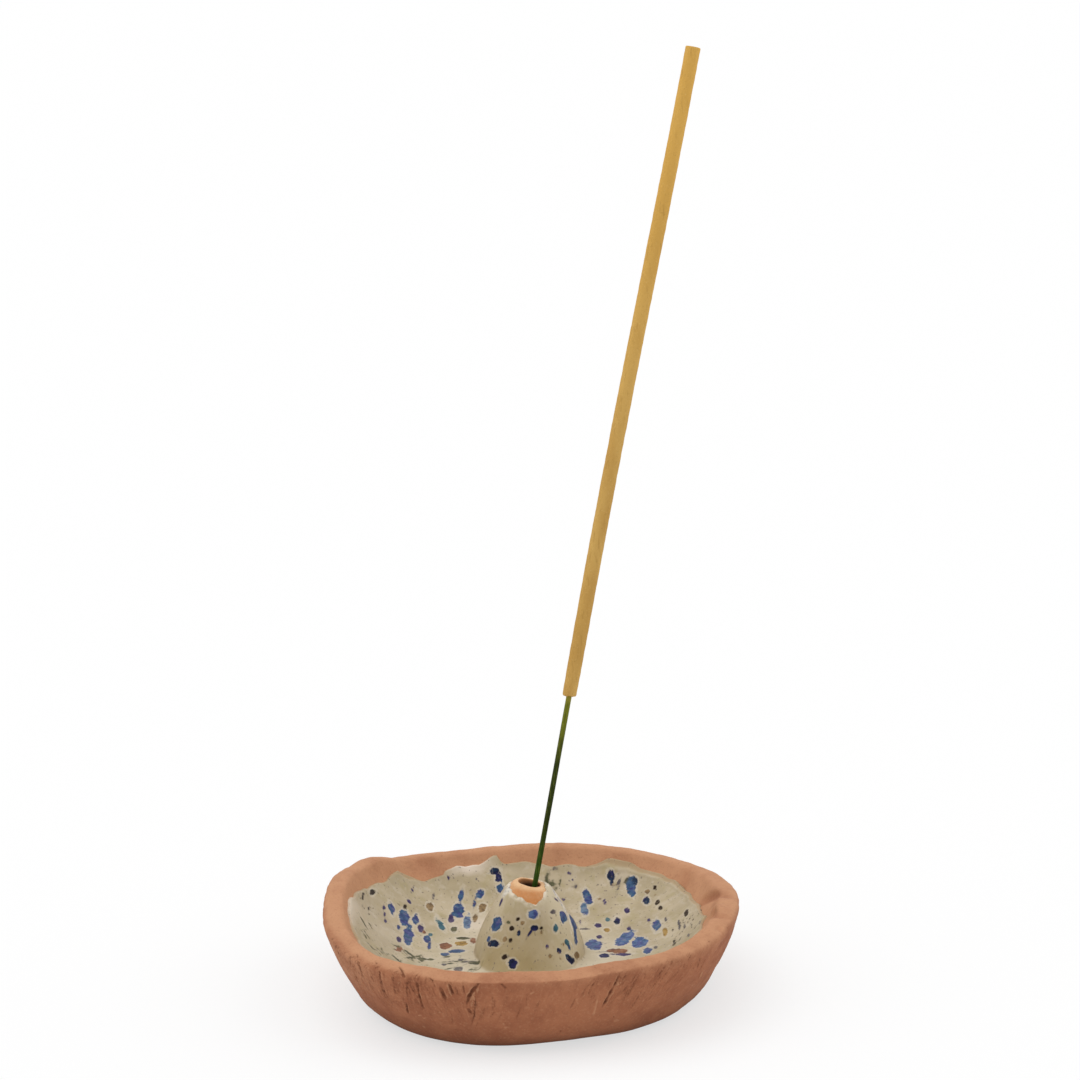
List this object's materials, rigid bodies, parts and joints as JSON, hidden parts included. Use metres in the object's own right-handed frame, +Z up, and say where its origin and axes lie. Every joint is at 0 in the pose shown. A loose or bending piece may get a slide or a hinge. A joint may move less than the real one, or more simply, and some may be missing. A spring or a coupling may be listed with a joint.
{
  "type": "incense stick holder",
  "caption": "Hand-pinched terracotta dish, speckled glaze inside, with a pierced central boss that holds a leaning incense stick over the hollow that catches its ash.",
  "frame": {"origin": "on the table, at the foot of the dish under the axis of the boss's hole", "axes": "+Z up; +X to the right and -Y to the front as the picture shows the dish; the stick leans towards +X and +Y"},
  "size_m": [0.1071, 0.1045, 0.2405],
  "materials": {
    "terracotta": "bare fired clay, matte",
    "speckled_glaze": "gloss, speckled",
    "dyed_bamboo": "dyed, satin",
    "incense_paste": "dry powder paste, matte"
  },
  "bodies": {
    "dish": {"clay_dish": "terracotta", "clay_boss": "terracotta", "joining_slip": "terracotta", "glaze_coat": "speckled_glaze"},
    "stick": {"bamboo_core": "dyed_bamboo", "incense_coat": "incense_paste"}
  },
  "joints": [
    {"name": "stick_lift", "type": "slide", "parent": "dish", "child": "stick", "axis": [0.1821, 0.1051, 0.9776], "range_m": [0, 0.03]}
  ]
}
